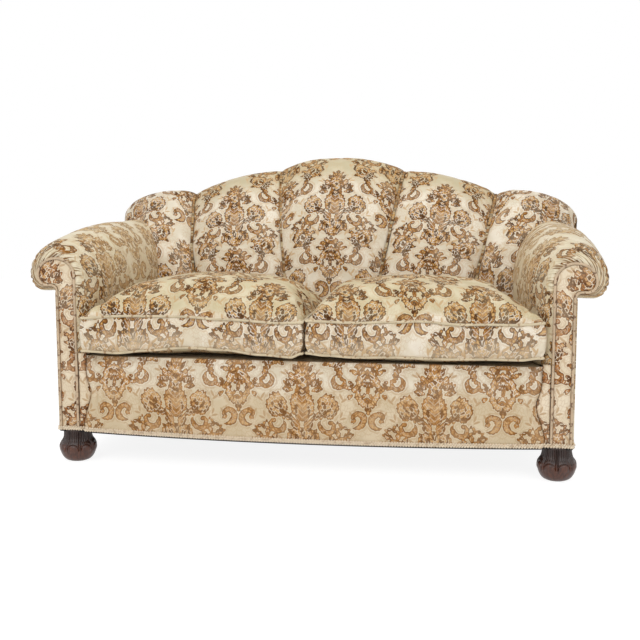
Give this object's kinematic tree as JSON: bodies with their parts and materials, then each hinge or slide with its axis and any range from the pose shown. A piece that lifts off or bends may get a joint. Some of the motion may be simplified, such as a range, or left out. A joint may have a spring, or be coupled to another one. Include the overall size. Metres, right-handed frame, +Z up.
{
  "type": "two-seat sofa",
  "caption": "Upholstered sofa with a fluted hump back, scroll arms with piped facings, loose box seat cushions, a bowed front border with braid, and carved bun feet.",
  "frame": {"origin": "on the floor under the middle of the sofa's bounding box", "axes": "+X runs along the seat to the right as seen from the front, +Y runs to the back, +Z is up"},
  "size_m": [1.7966, 0.9074, 0.987],
  "materials": {
    "beech": "planed beech, unpolished",
    "webbing": "woven jute webbing",
    "steel": "blued and zinc-coated steel wire and fixings",
    "canvas": "hessian and calico over hair stuffing",
    "cane": "split cane",
    "damask": "cream satin with gold-brown cut velvet figures",
    "piping": "cream satin over cord",
    "braid": "cream gimp braid",
    "black_cloth": "black cotton platform cloth",
    "dark_wood": "carved wood, dark walnut stain, satin polish",
    "calico": "calico case with feather and down"
  },
  "bodies": {
    "carcass": {"front_rail": "beech", "rear_rail": "beech", "left_side_rail": "beech", "right_side_rail": "beech", "corner_blocks": "beech", "left_arm_post": "beech", "right_arm_post": "beech", "left_scroll_board": "beech", "right_scroll_board": "beech", "left_arm_rail": "beech", "right_arm_rail": "beech", "left_tacking_rail": "beech", "right_tacking_rail": "beech", "left_back_post": "beech", "right_back_post": "beech", "top_rail": "beech", "back_tacking_rail": "beech", "back_stays": "beech", "seat_webbing": "webbing", "seat_springs": "steel", "spring_canvas": "canvas", "edge_cane": "cane", "seat_platform": "canvas", "front_border": "damask", "bottom_gimp": "braid", "dust_cover": "black_cloth", "dust_cover_tacks": "steel", "left_inside_arm": "damask", "right_inside_arm": "damask", "left_outside_arm": "damask", "right_outside_arm": "damask", "left_facing": "damask", "right_facing": "damask", "left_facing_piping": "piping", "right_facing_piping": "piping", "back_webbing": "webbing", "back_springs": "steel", "back_canvas": "canvas", "back_channel_1": "damask", "back_channel_2": "damask", "back_channel_3": "damask", "back_channel_4": "damask", "back_channel_5": "damask", "back_seam_cords": "piping", "outside_back": "damask", "left_front_foot": "dark_wood", "right_front_foot": "dark_wood", "left_rear_foot": "dark_wood", "right_rear_foot": "dark_wood", "foot_bolts": "steel"},
    "left_cushion": {"left_cushion_cover": "damask", "left_cushion_pad": "calico", "left_cushion_piping": "piping"},
    "right_cushion": {"right_cushion_cover": "damask", "right_cushion_pad": "calico", "right_cushion_piping": "piping"}
  },
  "joints": [
    {"name": "left_cushion_lift", "type": "slide", "parent": "carcass", "child": "left_cushion", "axis": [0, 0, 1], "range_m": [0, 0.65]},
    {"name": "right_cushion_lift", "type": "slide", "parent": "carcass", "child": "right_cushion", "axis": [0, 0, 1], "range_m": [0, 0.65]}
  ]
}
